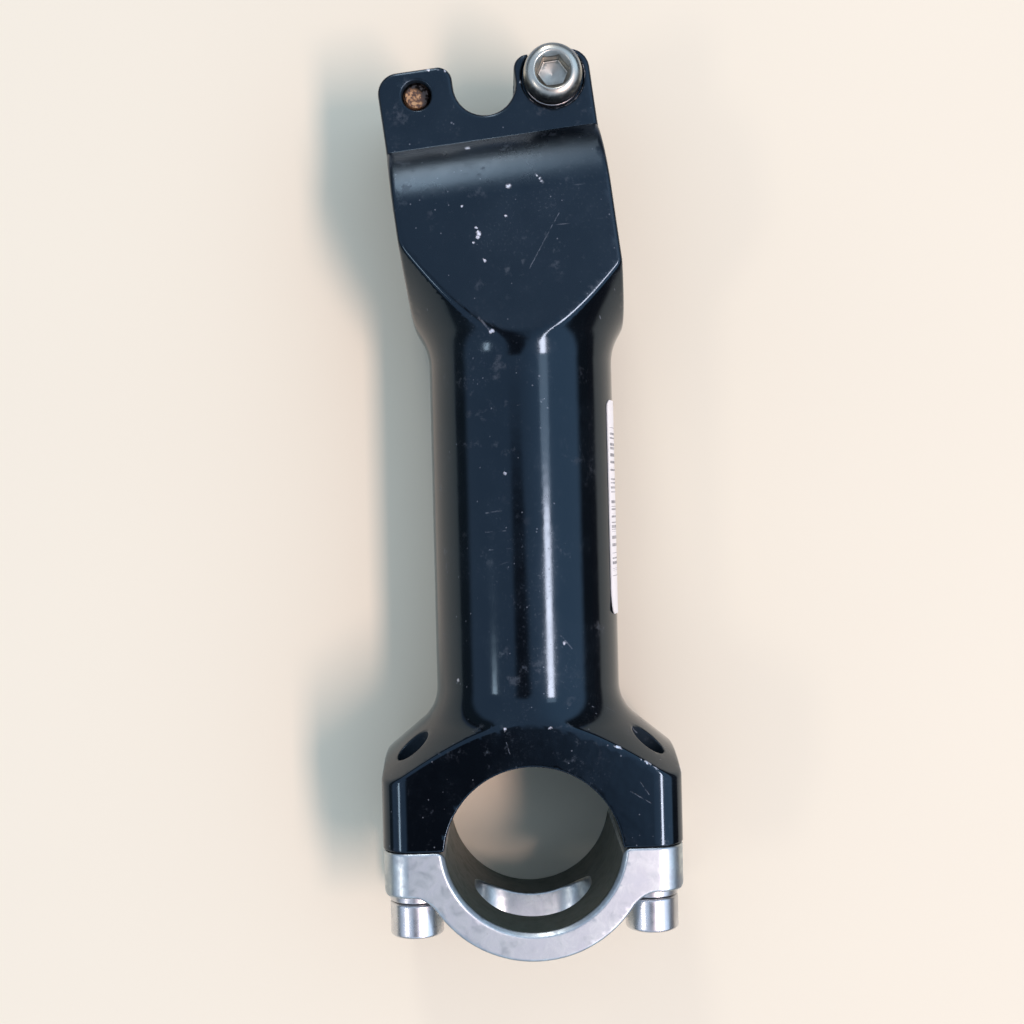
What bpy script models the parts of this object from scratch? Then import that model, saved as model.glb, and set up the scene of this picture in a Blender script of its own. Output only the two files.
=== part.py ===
"""Bicycle handlebar stem: clamps a 28.6 mm steerer tube at one end and a 31.8 mm handlebar at the other.

The stem lies on its side, so the handlebar's axis is vertical. +X runs along the extension from the
steerer clamp to the bar clamp, +Y is the stem's underside, and the origin is the centre of the bounding
box's bottom. Everything hangs from an empty at the point where the steerer's axis crosses the
extension's axis, halfway through the bar clamp.
"""

import math

import bmesh
import bpy
from mathutils import Matrix, Vector

MM = 0.001

# Driving dimensions.
STEM_LENGTH = 115.0 * MM
STEERER_BORE = 28.6 * MM
STEERER_ANGLE = math.radians(7.0)
STACK_HEIGHT = 39.0 * MM
STACK_SHIFT = -2.5 * MM
STEERER_WALL = 3.75 * MM
SIDE_FLAT = 17.8 * MM
BAR_BORE = 31.8 * MM
CLAMP_WIDTH = 37.0 * MM
CLAMP_HEIGHT = 54.0 * MM
CLAMP_CORNER = 5.0 * MM
CLOSING_GAP = 2.5 * MM
TUBE_RADIUS = 17.2 * MM

# The two cones that lead from the tube to the clamps, both turned about the extension's axis.
REAR_CONE_ANGLE = math.radians(30.7)
REAR_CONE_START = 23.7 * MM
REAR_CONE_FILLET = 10.0 * MM
FRONT_CONE_ANGLE = math.radians(50.5)
FRONT_CONE_START = 90.2 * MM
FRONT_CONE_FILLET = 8.0 * MM
CONE_RADIUS = 42.0 * MM

# The hollow through the extension.
HOLLOW_RADIUS = 12.5 * MM

# The two lugs behind the steerer, and the U-shaped gap between them.
LUG_REACH = 29.0 * MM
LUG_HALF_THICKNESS = 10.6 * MM
LUG_CORNER = 3.8 * MM
LUG_INNER_CORNER = 2.6 * MM
LUG_FILLET = 1.2 * MM
NOTCH_RADIUS = 5.7 * MM
NOTCH_CENTRE = 24.8 * MM
SLOT_WIDTH = 2.4 * MM

# M6 socket-head bolts and their washers. A shank has its thread's middle radius.
SHANK_RADIUS = 2.63 * MM
THREAD_HOLE_RADIUS = 2.7 * MM
CLEARANCE_HOLE_RADIUS = 3.2 * MM
TIP_CHAMFER = 0.5 * MM
SOCKET_FLATS = 5.0 * MM
FACE_HEAD_RADIUS = 4.8 * MM
FACE_HEAD_HEIGHT = 6.2 * MM
FACE_HEAD_ROUNDING = 0.5 * MM
FACE_SOCKET_DEPTH = 3.0 * MM
FACE_WASHER_THICKNESS = 1.6 * MM
FACE_BOLT_SPACING_Y = 42.7 * MM
FACE_BOLT_SPACING_Z = 22.0 * MM
FACE_BOLT_LENGTH = 18.0 * MM
PINCH_HEAD_RADIUS = 5.35 * MM
PINCH_HEAD_HEIGHT = 4.2 * MM
PINCH_HEAD_ROUNDING = 1.3 * MM
PINCH_SOCKET_DEPTH = 2.7 * MM
PINCH_WASHER_THICKNESS = 1.0 * MM
PINCH_BOLT_REACH = 24.3 * MM
PINCH_BOLT_SPACING = 25.0 * MM
PINCH_BOLT_LENGTH = 20.0 * MM
PINCH_SPOTFACE_RADIUS = 5.8 * MM
PINCH_SPOTFACE_DEPTH = 1.6 * MM

# The faceplate.
EAR_THICKNESS = 8.0 * MM
EAR_CORNER = 1.2 * MM
EAR_INNER_CORNER = 1.4 * MM
RING_RADIUS = 21.0 * MM
RING_FILLET = 1.8 * MM
FACE_SPOTFACE_RADIUS = 5.4 * MM
WINDOW_WIDTH = 21.6 * MM
WINDOW_HEIGHT = 15.0 * MM
WINDOW_CORNER = 6.0 * MM

# The sticker on the underside of the tube.
LABEL_START = 33.6 * MM
LABEL_LENGTH = 39.7 * MM
LABEL_THICKNESS = 0.12 * MM

# Gaps that keep neighbouring pieces apart.
FACE_GAP = 0.1 * MM
LABEL_GAP = 0.05 * MM

# How far stock and cutters run past what they trim.
OVERSHOOT = 10.0 * MM

TUBE_SIDES = 72
BORE_SIDES = 64
HOLLOW_SIDES = 48
BOLT_SIDES = 24
SPOTFACE_SIDES = 32
CORNER_STEPS = 6
HEAD_STEPS = 3
LABEL_STEPS = 10

# Worked out from the driving dimensions.
STEERER_RADIUS = STEERER_BORE / 2 + STEERER_WALL
SPLIT_X = STEM_LENGTH - CLOSING_GAP / 2
FACEPLATE_SPLIT_X = SPLIT_X + FACE_GAP
FACEPLATE_BORE_X = FACEPLATE_SPLIT_X - CLOSING_GAP / 2
LUG_END_X = -(
    (LUG_REACH - LUG_CORNER) * math.cos(STEERER_ANGLE)
    + (STACK_HEIGHT / 2 + STACK_SHIFT - LUG_CORNER) * math.sin(STEERER_ANGLE)
    + LUG_CORNER
)
PINCH_HEAD_END_X = -(
    PINCH_BOLT_REACH * math.cos(STEERER_ANGLE)
    + (PINCH_BOLT_SPACING / 2 + STACK_SHIFT) * math.sin(STEERER_ANGLE)
    + PINCH_HEAD_RADIUS
)
REAR_END_X = min(LUG_END_X, PINCH_HEAD_END_X)
FRONT_END_X = FACEPLATE_BORE_X + RING_RADIUS

# Frames: the steerer frame has its X forward, its Y along the steerer and its Z up.
ROOT = Matrix.Translation((-(REAR_END_X + FRONT_END_X) / 2, 0, CLAMP_WIDTH / 2))
STEERER = Matrix.Rotation(STEERER_ANGLE, 4, "Z")
ALONG_X = Matrix.Rotation(math.pi / 2, 4, "Y")
ALONG_Y = Matrix.Rotation(-math.pi / 2, 4, "X")
# Outlines drawn across the extension: X, Y and Z become the stem's Y, Z and X.
CROSSWAYS = Matrix(((0, 0, 1, 0), (1, 0, 0, 0), (0, 1, 0, 0), (0, 0, 0, 1)))
# Outlines drawn from the side: X, Y and Z become the steerer frame's X, Z and -Y.
SIDEWAYS = Matrix(((1, 0, 0, 0), (0, 0, -1, 0), (0, 1, 0, 0), (0, 0, 0, 1)))


def material(name, colour, roughness, metallic):
    """A Principled material."""
    made = bpy.data.materials.new(name)
    made.use_nodes = True
    shader = made.node_tree.nodes["Principled BSDF"]
    shader.inputs["Base Color"].default_value = (*colour, 1.0)
    shader.inputs["Roughness"].default_value = roughness
    shader.inputs["Metallic"].default_value = metallic
    made.diffuse_color = (*colour, 1.0)
    return made


def arc(centre, radius, start, end, steps):
    """Points on an arc, both ends included, with angles in degrees."""
    points = []
    for step in range(steps + 1):
        angle = math.radians(start + (end - start) * step / steps)
        points.append((centre[0] + radius * math.cos(angle), centre[1] + radius * math.sin(angle)))
    return points


def rounded_rectangle(width, height, corner, steps=CORNER_STEPS):
    """A rectangle about the origin with round corners, anticlockwise."""
    x = width / 2 - corner
    y = height / 2 - corner
    points = []
    for centre, start in (((x, y), 0), ((-x, y), 90), ((-x, -y), 180), ((x, -y), 270)):
        points += arc(centre, corner, start, start + 90, steps)
    return points


def place_mesh(name, bm, matrix, finish=None, helper=False):
    """An object with this mesh, hanging from the root empty."""
    bmesh.ops.remove_doubles(bm, verts=bm.verts, dist=1e-7)
    bmesh.ops.recalc_face_normals(bm, faces=bm.faces)
    mesh = bpy.data.meshes.new(name)
    bm.to_mesh(mesh)
    bm.free()
    mesh.shade_smooth()
    mesh.set_sharp_from_angle(angle=math.radians(30))
    made = bpy.data.objects.new(name, mesh)
    bpy.context.scene.collection.objects.link(made)
    made.parent = root
    made.matrix_local = matrix
    if finish:
        mesh.materials.append(finish)
    if helper:
        made.hide_render = True
        made.display_type = "WIRE"
    return made


def prism(name, outline, low, high, matrix, finish=None, helper=True):
    """An outline in the local XY plane, extruded from low to high."""
    bm = bmesh.new()
    face = bm.faces.new([bm.verts.new((x, y, low)) for x, y in outline])
    extruded = bmesh.ops.extrude_face_region(bm, geom=[face])["geom"]
    moved = [item for item in extruded if isinstance(item, bmesh.types.BMVert)]
    bmesh.ops.translate(bm, verts=moved, vec=(0, 0, high - low))
    return place_mesh(name, bm, matrix, finish, helper)


def turned(name, profile, sides, matrix, finish=None, helper=False):
    """A closed profile of (radius, height) pairs, spun about the local Z axis."""
    bm = bmesh.new()
    ring = [bm.verts.new((radius, 0, height)) for radius, height in profile]
    pairs = zip(ring, ring[1:] + ring[:1])
    edges = [bm.edges.new(pair) for pair in pairs if pair[0].co.x > 0 or pair[1].co.x > 0]
    bmesh.ops.spin(
        bm,
        geom=ring + edges,
        cent=(0, 0, 0),
        axis=(0, 0, 1),
        angle=2 * math.pi,
        steps=sides,
        use_merge=True,
    )
    bmesh.ops.remove_doubles(bm, verts=bm.verts, dist=1e-7)
    bmesh.ops.dissolve_degenerate(bm, edges=bm.edges, dist=1e-8)
    return place_mesh(name, bm, matrix, finish, helper)


def cylinder(name, radius, low, high, sides, matrix, helper=True):
    """A plain cylinder along the local Z axis."""
    outline = arc((0, 0), radius, 0, 360, sides)[:-1]
    return prism(name, outline, low, high, matrix, helper=helper)


def boolean(target, other, operation):
    """A live Boolean modifier with the exact solver."""
    modifier = target.modifiers.new(f"{operation.lower()} {other.name}", "BOOLEAN")
    modifier.operation = operation
    modifier.object = other
    modifier.solver = "EXACT"


def tangent_arc(corner, before, after, radius, steps):
    """Rounds the corner between two straight runs with an arc that touches both."""
    corner = Vector(corner)
    to_before = (Vector(before) - corner).normalized()
    to_after = (Vector(after) - corner).normalized()
    half = to_before.angle(to_after) / 2
    centre = corner + (to_before + to_after).normalized() * (radius / math.sin(half))
    touch = radius / math.tan(half)
    first = corner + to_before * touch - centre
    last = corner + to_after * touch - centre
    start = math.degrees(math.atan2(first.y, first.x))
    end = math.degrees(math.atan2(last.y, last.x))
    turn = (end - start + 180) % 360 - 180
    return arc(centre, radius, start, start + turn, steps)


def extension_profile():
    """Radius and distance along the extension, from behind the steerer clamp to the split plane."""
    rear = (TUBE_RADIUS, REAR_CONE_START)
    front = (TUBE_RADIUS, FRONT_CONE_START)
    rise = CONE_RADIUS - TUBE_RADIUS
    rear_wide = (CONE_RADIUS, REAR_CONE_START - rise / math.tan(REAR_CONE_ANGLE))
    front_wide = (CONE_RADIUS, FRONT_CONE_START + rise / math.tan(FRONT_CONE_ANGLE))
    points = [(0, REAR_END_X - OVERSHOOT), (CONE_RADIUS, REAR_END_X - OVERSHOOT), rear_wide]
    points += tangent_arc(rear, rear_wide, front, REAR_CONE_FILLET, CORNER_STEPS)
    points += tangent_arc(front, rear, front_wide, FRONT_CONE_FILLET, CORNER_STEPS)
    points += [front_wide, (CONE_RADIUS, STEM_LENGTH), (0, STEM_LENGTH)]
    return points


def steerer_side_profile():
    """The steerer clamp and lugs seen along the steerer's axis: forward, then up."""
    fillet_z = LUG_HALF_THICKNESS + LUG_FILLET
    fillet_x = math.sqrt((STEERER_RADIUS + LUG_FILLET) ** 2 - fillet_z**2)
    crease = 180 - math.degrees(math.asin(SIDE_FLAT / STEERER_RADIUS))
    tangent = 180 - math.degrees(math.atan2(fillet_z, fillet_x))
    front = REAR_CONE_START + OVERSHOOT
    upper = [(front, SIDE_FLAT)]
    upper += arc((0, 0), STEERER_RADIUS, crease, tangent, 2 * CORNER_STEPS)
    upper += arc((-fillet_x, fillet_z), LUG_FILLET, tangent - 180, -90, CORNER_STEPS)
    upper += [(-LUG_REACH - OVERSHOOT, LUG_HALF_THICKNESS)]
    return upper + [(x, -z) for x, z in reversed(upper)]


def steerer_plan():
    """The steerer clamp and lugs seen along the handlebar's axis, in the steerer frame."""
    low = STACK_SHIFT - STACK_HEIGHT / 2
    high = STACK_SHIFT + STACK_HEIGHT / 2
    front = REAR_CONE_START + OVERSHOOT
    rear = -LUG_REACH
    mouth_low = STACK_SHIFT - NOTCH_RADIUS
    mouth_high = STACK_SHIFT + NOTCH_RADIUS
    notch_end = -NOTCH_CENTRE
    points = [(front, low), (front, high)]
    points += arc((rear + LUG_CORNER, high - LUG_CORNER), LUG_CORNER, 90, 180, CORNER_STEPS)
    inner = LUG_INNER_CORNER
    points += arc((rear + inner, mouth_high + inner), inner, 180, 270, CORNER_STEPS)
    points += arc((notch_end, STACK_SHIFT), NOTCH_RADIUS, 90, -90, 3 * CORNER_STEPS)
    points += arc((rear + inner, mouth_low - inner), inner, 90, 180, CORNER_STEPS)
    points += arc((rear + LUG_CORNER, low + LUG_CORNER), LUG_CORNER, 180, 270, CORNER_STEPS)
    return points


def make_stem_body(paint):
    """The one-piece body: steerer clamp, hollow extension and the rear half of the bar clamp."""
    body = turned("stem_body", extension_profile(), TUBE_SIDES, ALONG_X, paint)

    # The outer shape is whatever lies inside both the turned form and these three blocks.
    blocks = prism("cut_blocks", steerer_side_profile(), -STACK_HEIGHT, STACK_HEIGHT, STEERER @ SIDEWAYS)
    plan = prism("cut_plan", steerer_plan(), -STEERER_BORE, STEERER_BORE, STEERER)
    boolean(blocks, plan, "INTERSECT")
    middle_start = REAR_CONE_START
    middle_end = FRONT_CONE_START
    middle_outline = rounded_rectangle(CLAMP_HEIGHT + OVERSHOOT, CLAMP_WIDTH + OVERSHOOT, CLAMP_CORNER)
    middle = prism("cut_middle", middle_outline, middle_start, middle_end, CROSSWAYS)
    clamp_outline = rounded_rectangle(CLAMP_HEIGHT, CLAMP_WIDTH, CLAMP_CORNER)
    clamp = prism("cut_clamp", clamp_outline, middle_end - OVERSHOOT, SPLIT_X, CROSSWAYS)
    boolean(blocks, middle, "UNION")
    boolean(blocks, clamp, "UNION")
    boolean(body, blocks, "INTERSECT")

    steerer_place = STEERER @ ALONG_Y
    bar_place = Matrix.Translation((STEM_LENGTH, 0, 0))
    steerer_radius = STEERER_BORE / 2
    bar_radius = BAR_BORE / 2
    steerer_bore = cylinder(
        "cut_steerer_bore", steerer_radius, -STACK_HEIGHT, STACK_HEIGHT, BORE_SIDES, steerer_place
    )
    bar_bore = cylinder("cut_bar_bore", bar_radius, -CLAMP_WIDTH, CLAMP_WIDTH, BORE_SIDES, bar_place)
    hollow = cylinder("cut_hollow", HOLLOW_RADIUS, 0, STEM_LENGTH, HOLLOW_SIDES, ALONG_X)
    slot_rear = -LUG_REACH - OVERSHOOT
    slot_outline = [
        (slot_rear, -STACK_HEIGHT),
        (0, -STACK_HEIGHT),
        (0, STACK_HEIGHT),
        (slot_rear, STACK_HEIGHT),
    ]
    slot = prism("cut_slot", slot_outline, -SLOT_WIDTH / 2, SLOT_WIDTH / 2, STEERER)
    for cutter in (steerer_bore, hollow, bar_bore, slot):
        boolean(body, cutter, "DIFFERENCE")
    for index, place in enumerate(face_bolt_frames()):
        name = f"cut_face_thread_{index}"
        hole = cylinder(name, THREAD_HOLE_RADIUS, TUBE_RADIUS, STEM_LENGTH, BOLT_SIDES, place)
        boolean(body, hole, "DIFFERENCE")
    for side in (-1, 1):
        cuts = (
            ("thread", THREAD_HOLE_RADIUS, -STEERER_BORE),
            ("clearance", CLEARANCE_HOLE_RADIUS, 0),
            ("spotface", PINCH_SPOTFACE_RADIUS, LUG_HALF_THICKNESS - PINCH_SPOTFACE_DEPTH),
        )
        place = pinch_bolt_frame(side)
        for kind, radius, start in cuts:
            name = f"cut_pinch_{kind}_{side}"
            boolean(body, cylinder(name, radius, start, STEERER_BORE, BOLT_SIDES, place), "DIFFERENCE")
    return body


def face_bolt_frames():
    """A frame on the axis of each faceplate bolt at X = 0, with its Z along the extension."""
    y = FACE_BOLT_SPACING_Y / 2
    z = FACE_BOLT_SPACING_Z / 2
    places = ((-y, z), (y, z), (y, -z), (-y, -z))
    return [Matrix.Translation((0, *place)) @ ALONG_X for place in places]


def pinch_bolt_frame(side):
    """A frame on a pinch bolt's axis in the middle plane, with its Z towards the bolt's head."""
    crossing = Matrix.Translation((-PINCH_BOLT_REACH, STACK_SHIFT + side * PINCH_BOLT_SPACING / 2, 0))
    turn = Matrix.Rotation(0 if side > 0 else math.pi, 4, "X")
    return STEERER @ crossing @ turn


def faceplate_outline():
    """The faceplate seen along the handlebar's axis: two ears joined by half a ring."""
    bore = BAR_BORE / 2
    inner_x = FACEPLATE_SPLIT_X - FACEPLATE_BORE_X
    front_x = inner_x + EAR_THICKNESS
    half = CLAMP_HEIGHT / 2
    corner = EAR_CORNER
    inner = EAR_INNER_CORNER
    # The bore's rim curves into the ear: a small arc that touches the bore and the split plane.
    rim_y = math.sqrt((bore + inner) ** 2 - (inner_x + inner) ** 2)
    rim_angle = math.degrees(math.atan2(rim_y, inner_x + inner))
    # The ear's front curves into the ring the same way, round the outside.
    web_x = front_x + RING_FILLET
    web_y = math.sqrt((RING_RADIUS + RING_FILLET) ** 2 - web_x**2)
    web_angle = math.degrees(math.atan2(web_y, web_x))
    upper = arc((0, 0), bore, 0, rim_angle, 2 * CORNER_STEPS)
    upper += arc((inner_x + inner, rim_y), inner, rim_angle - 180, -180, CORNER_STEPS)
    upper += [(inner_x, half)]
    upper += arc((front_x - corner, half - corner), corner, 90, 0, CORNER_STEPS)
    upper += arc((web_x, web_y), RING_FILLET, 180, 180 + web_angle, CORNER_STEPS)
    upper += arc((0, 0), RING_RADIUS, web_angle, 0, 2 * CORNER_STEPS)
    lower = [(x, -y) for x, y in reversed(upper[1:-1])]
    return upper + lower


def make_faceplate(metal):
    """The removable front half of the bar clamp."""
    place = Matrix.Translation((FACEPLATE_BORE_X, 0, 0))
    half = (CLAMP_WIDTH + OVERSHOOT) / 2
    plate = prism("faceplate", faceplate_outline(), -half, half, place, metal, helper=False)
    front = FRONT_END_X + OVERSHOOT
    outline = rounded_rectangle(CLAMP_HEIGHT, CLAMP_WIDTH, CLAMP_CORNER)
    envelope = prism("cut_plate_envelope", outline, SPLIT_X - OVERSHOOT, front, CROSSWAYS)
    boolean(plate, envelope, "INTERSECT")
    window_outline = rounded_rectangle(WINDOW_WIDTH, WINDOW_HEIGHT, WINDOW_CORNER)
    window = prism("cut_window", window_outline, FACEPLATE_BORE_X, front, CROSSWAYS)
    boolean(plate, window, "DIFFERENCE")
    seat = FACEPLATE_SPLIT_X + EAR_THICKNESS
    for index, place in enumerate(face_bolt_frames()):
        hole = cylinder(f"cut_face_hole_{index}", CLEARANCE_HOLE_RADIUS, 0, front, BOLT_SIDES, place)
        boolean(plate, hole, "DIFFERENCE")
        name = f"cut_face_spotface_{index}"
        spotface = cylinder(name, FACE_SPOTFACE_RADIUS, seat, front, SPOTFACE_SIDES, place)
        boolean(plate, spotface, "DIFFERENCE")
    return plate


def make_bolt(name, length, head, seat, metal):
    """A socket-head bolt whose head stands on the seat frame's XY plane."""
    radius, height, rounding, socket_depth = head
    profile = [
        (0, -length),
        (SHANK_RADIUS - TIP_CHAMFER, -length),
        (SHANK_RADIUS, -length + TIP_CHAMFER),
        (SHANK_RADIUS, 0),
        (radius, 0),
    ]
    profile += arc((radius - rounding, height - rounding), rounding, 0, 90, HEAD_STEPS)
    profile.append((0, height))
    bolt = turned(name, profile, BOLT_SIDES, seat, metal)
    corners = arc((0, 0), SOCKET_FLATS / math.sqrt(3), 0, 360, 6)[:-1]
    floor = height - socket_depth
    socket = prism(f"cut_socket_{name}", corners, floor, height + OVERSHOOT, seat)
    boolean(bolt, socket, "DIFFERENCE")
    return bolt


def make_washer(name, radius, thickness, seat, metal):
    """A washer standing on the seat frame's XY plane."""
    hole = CLEARANCE_HOLE_RADIUS
    profile = [(hole, 0), (radius, 0), (radius, thickness), (hole, thickness)]
    return turned(name, profile, BOLT_SIDES, seat, metal)


def make_face_fasteners(metal):
    """The four bolts that hold the faceplate, each with its washer."""
    head = (FACE_HEAD_RADIUS, FACE_HEAD_HEIGHT, FACE_HEAD_ROUNDING, FACE_SOCKET_DEPTH)
    washer_height = FACEPLATE_SPLIT_X + EAR_THICKNESS + FACE_GAP
    bolt_height = washer_height + FACE_WASHER_THICKNESS + FACE_GAP
    for number, place in enumerate(face_bolt_frames(), 1):
        washer_seat = place @ Matrix.Translation((0, 0, washer_height))
        make_washer(f"faceplate_washer_{number}", FACE_HEAD_RADIUS, FACE_WASHER_THICKNESS, washer_seat, metal)
        bolt_seat = place @ Matrix.Translation((0, 0, bolt_height))
        make_bolt(f"faceplate_bolt_{number}", FACE_BOLT_LENGTH, head, bolt_seat, metal)


def make_pinch_fasteners(metal):
    """The two opposed bolts that close the steerer clamp, each with its washer in a spotface."""
    head = (PINCH_HEAD_RADIUS, PINCH_HEAD_HEIGHT, PINCH_HEAD_ROUNDING, PINCH_SOCKET_DEPTH)
    washer_height = LUG_HALF_THICKNESS - PINCH_SPOTFACE_DEPTH + FACE_GAP
    bolt_height = washer_height + PINCH_WASHER_THICKNESS + FACE_GAP
    for name, side in (("left", 1), ("right", -1)):
        place = pinch_bolt_frame(side)
        washer_seat = place @ Matrix.Translation((0, 0, washer_height))
        make_washer(f"steerer_washer_{name}", PINCH_HEAD_RADIUS, PINCH_WASHER_THICKNESS, washer_seat, metal)
        bolt_seat = place @ Matrix.Translation((0, 0, bolt_height))
        make_bolt(f"steerer_bolt_{name}", PINCH_BOLT_LENGTH, head, bolt_seat, metal)


def make_label(paper):
    """A thin sticker wrapped round the underside of the tube."""
    inner = TUBE_RADIUS + LABEL_GAP
    outer = inner + LABEL_THICKNESS
    reach = LABEL_STEPS / 2 * 360 / TUBE_SIDES
    outline = arc((0, 0), outer, 90 - reach, 90 + reach, LABEL_STEPS)
    outline += arc((0, 0), inner, 90 + reach, 90 - reach, LABEL_STEPS)
    return prism("label", outline, LABEL_START, LABEL_START + LABEL_LENGTH, ALONG_X, paper, helper=False)


for old in list(bpy.data.objects):
    bpy.data.objects.remove(old, do_unlink=True)

root = bpy.data.objects.new("stem_origin", None)
bpy.context.scene.collection.objects.link(root)
root.matrix_world = ROOT

black_paint = material("gloss_black_paint", (0.012, 0.014, 0.02), 0.12, 0.0)
bare_aluminium = material("bare_aluminium", (0.62, 0.62, 0.65), 0.34, 1.0)
plated_steel = material("plated_steel", (0.74, 0.73, 0.72), 0.16, 1.0)
white_paper = material("label_paper", (0.82, 0.81, 0.78), 0.6, 0.0)

make_stem_body(black_paint)
make_faceplate(bare_aluminium)
make_face_fasteners(plated_steel)
make_pinch_fasteners(plated_steel)
make_label(white_paper)
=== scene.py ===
"""The handlebar stem's looks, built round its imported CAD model.

The body, the faceplate, the bolts, the washers and the sticker are modelled again as fine meshes,
with the worn round edges and the threads that the plain solids leave out. Shapes are signed
distances in millimetres, in the stem's own frame: X runs along the extension from the steerer's
axis, Y points to the underside and Z starts halfway through the bar clamp.
"""

import math

import bpy
import numpy as np
from mathutils import Matrix, Vector


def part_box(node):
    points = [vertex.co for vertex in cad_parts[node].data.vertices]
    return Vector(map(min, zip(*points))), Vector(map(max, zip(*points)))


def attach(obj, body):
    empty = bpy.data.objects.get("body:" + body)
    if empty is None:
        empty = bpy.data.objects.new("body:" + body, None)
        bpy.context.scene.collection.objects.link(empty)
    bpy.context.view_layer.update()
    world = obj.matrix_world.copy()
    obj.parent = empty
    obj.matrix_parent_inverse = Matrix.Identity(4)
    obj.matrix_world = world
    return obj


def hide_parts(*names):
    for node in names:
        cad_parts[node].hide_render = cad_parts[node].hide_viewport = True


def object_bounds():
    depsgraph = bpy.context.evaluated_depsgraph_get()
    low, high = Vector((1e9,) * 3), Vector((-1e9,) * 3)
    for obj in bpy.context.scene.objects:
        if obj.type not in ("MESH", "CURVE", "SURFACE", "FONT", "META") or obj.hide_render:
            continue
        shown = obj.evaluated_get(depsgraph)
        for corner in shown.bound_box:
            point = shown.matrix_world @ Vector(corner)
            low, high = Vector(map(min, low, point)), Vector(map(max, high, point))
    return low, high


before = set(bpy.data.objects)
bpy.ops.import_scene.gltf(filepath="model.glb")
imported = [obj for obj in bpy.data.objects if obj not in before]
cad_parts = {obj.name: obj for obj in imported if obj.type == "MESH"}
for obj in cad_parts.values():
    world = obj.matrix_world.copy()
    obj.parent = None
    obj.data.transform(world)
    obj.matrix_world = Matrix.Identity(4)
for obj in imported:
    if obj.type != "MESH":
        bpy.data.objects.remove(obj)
cad_low, cad_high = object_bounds()

MM = 0.001

# Dimensions of the part, in millimetres.
STEM_LENGTH = 115.0
STEERER_BORE = 28.6
STEERER_ANGLE = math.radians(7.0)
STACK_HEIGHT = 39.0
STACK_SHIFT = -2.5
STEERER_RADIUS = 18.05
SIDE_FLAT = 17.8
BAR_BORE = 31.8
CLAMP_WIDTH = 37.0
CLAMP_HEIGHT = 54.0
CLAMP_CORNER = 5.0
SPLIT_X = 113.75
TUBE_RADIUS = 17.2
REAR_CONE = (23.7, math.radians(30.7), 10.0)
FRONT_CONE = (90.2, math.radians(50.5), 8.0)
HOLLOW_RADIUS = 12.5
LUG_REACH = 29.0
LUG_HALF_THICKNESS = 10.6
LUG_CORNER = 3.8
LUG_INNER_CORNER = 2.6
LUG_FILLET = 0.1
NOTCH_RADIUS = 5.7
NOTCH_CENTRE = 24.8
SLOT_WIDTH = 2.4
THREAD_HOLE_RADIUS = 2.7
CLEARANCE_HOLE_RADIUS = 3.2
FACE_BOLT_Y = 21.35
FACE_BOLT_Z = 11.0
PINCH_BOLT_REACH = 24.3
PINCH_BOLT_S = 12.5
PINCH_SPOTFACE_RADIUS = 5.8
PINCH_SEAT = 9.0
FACEPLATE_SPLIT_X = 113.85
FACEPLATE_BORE_X = 112.6
EAR_THICKNESS = 8.0
EAR_CORNER = 1.2
EAR_INNER_CORNER = 1.4
RING_RADIUS = 21.0
RING_FILLET = 2.4
FACE_SPOTFACE_RADIUS = 5.4
BORE_CHAMFER = 0.75
WINDOW_WIDTH = 21.6
WINDOW_HEIGHT = 15.0
WINDOW_CORNER = 6.0
LABEL_START = 33.6
LABEL_LENGTH = 39.7
LABEL_HALF_ANGLE = math.radians(25.0)
LABEL_THICKNESS = 0.12
LABEL_GAP = 0.05
LABEL_CORNER = 1.3
SOCKET_FLATS = 5.0
SOCKET_MOUTH_RADIUS = 3.45
SOCKET_CONE_RADIUS = 2.1
THREAD_PITCH = 1.0
THREAD_CREST = 2.66
THREAD_ROOT = 2.28
THREAD_TIP = 0.6
FACE_BOLT_LENGTH = 18.0
PINCH_BOLT_LENGTH = 20.0
FACE_WASHER_THICKNESS = 1.6
PINCH_WASHER_THICKNESS = 1.0
WASHER_CLEARANCE = 0.1

# The printed part of the sticker.
BARS_X = (LABEL_START + 5.0, LABEL_START + LABEL_LENGTH - 7.0)
BARS_Z = (-6.4, 6.4)

# Bolt heads: radius, height, the rounding of the rim, the socket's depth and the bevel underneath.
FACE_HEAD = (4.8, 6.2, 0.5, 3.0, 0.4)
PINCH_HEAD = (5.35, 4.2, 2.1, 3.2, 0.3)

# The stem's frame in the row frame: the body's front end is the split plane.
ORIGIN = np.array([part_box("stem_body")[1].x / MM - SPLIT_X, 0.0, CLAMP_WIDTH / 2])


# Distances.


def soft_max(a, b, blend):
    """The larger of two distances, with the corner between them rounded over about that width."""
    return np.maximum(a, b) + np.maximum(blend - np.abs(a - b), 0) ** 2 / (4 * blend)


def round_corner(a, b, radius):
    """The space inside both of two square-on distances, its corner an arc."""
    reach = np.hypot(np.maximum(a + radius, 0), np.maximum(b + radius, 0))
    return np.minimum(-radius, np.maximum(a, b)) + reach


def round_join(a, b, radius):
    """The space inside either of two distances, with a concave fillet between them."""
    return -round_corner(-a, -b, radius)


def flare(radius, along, angle, fillet):
    """Outside distance of the tube where it opens into a cone, which starts at along = 0."""
    tube = radius - TUBE_RADIUS
    cone = tube * math.cos(angle) - along * math.sin(angle)
    across = along + fillet * math.tan(angle / 2)
    depth = TUBE_RADIUS + fillet - radius
    turn = np.arctan2(across, depth)
    arc = fillet - np.hypot(across, depth)
    return np.where(turn < 0, tube, np.where(turn > angle, cone, arc))


def rounded_box(a, b, width, height, corner):
    """Distance to a rounded rectangle."""
    over_a = np.abs(a) - width / 2 + corner
    over_b = np.abs(b) - height / 2 + corner
    outside = np.hypot(np.maximum(over_a, 0), np.maximum(over_b, 0))
    return outside + np.minimum(np.maximum(over_a, over_b), 0) - corner


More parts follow.
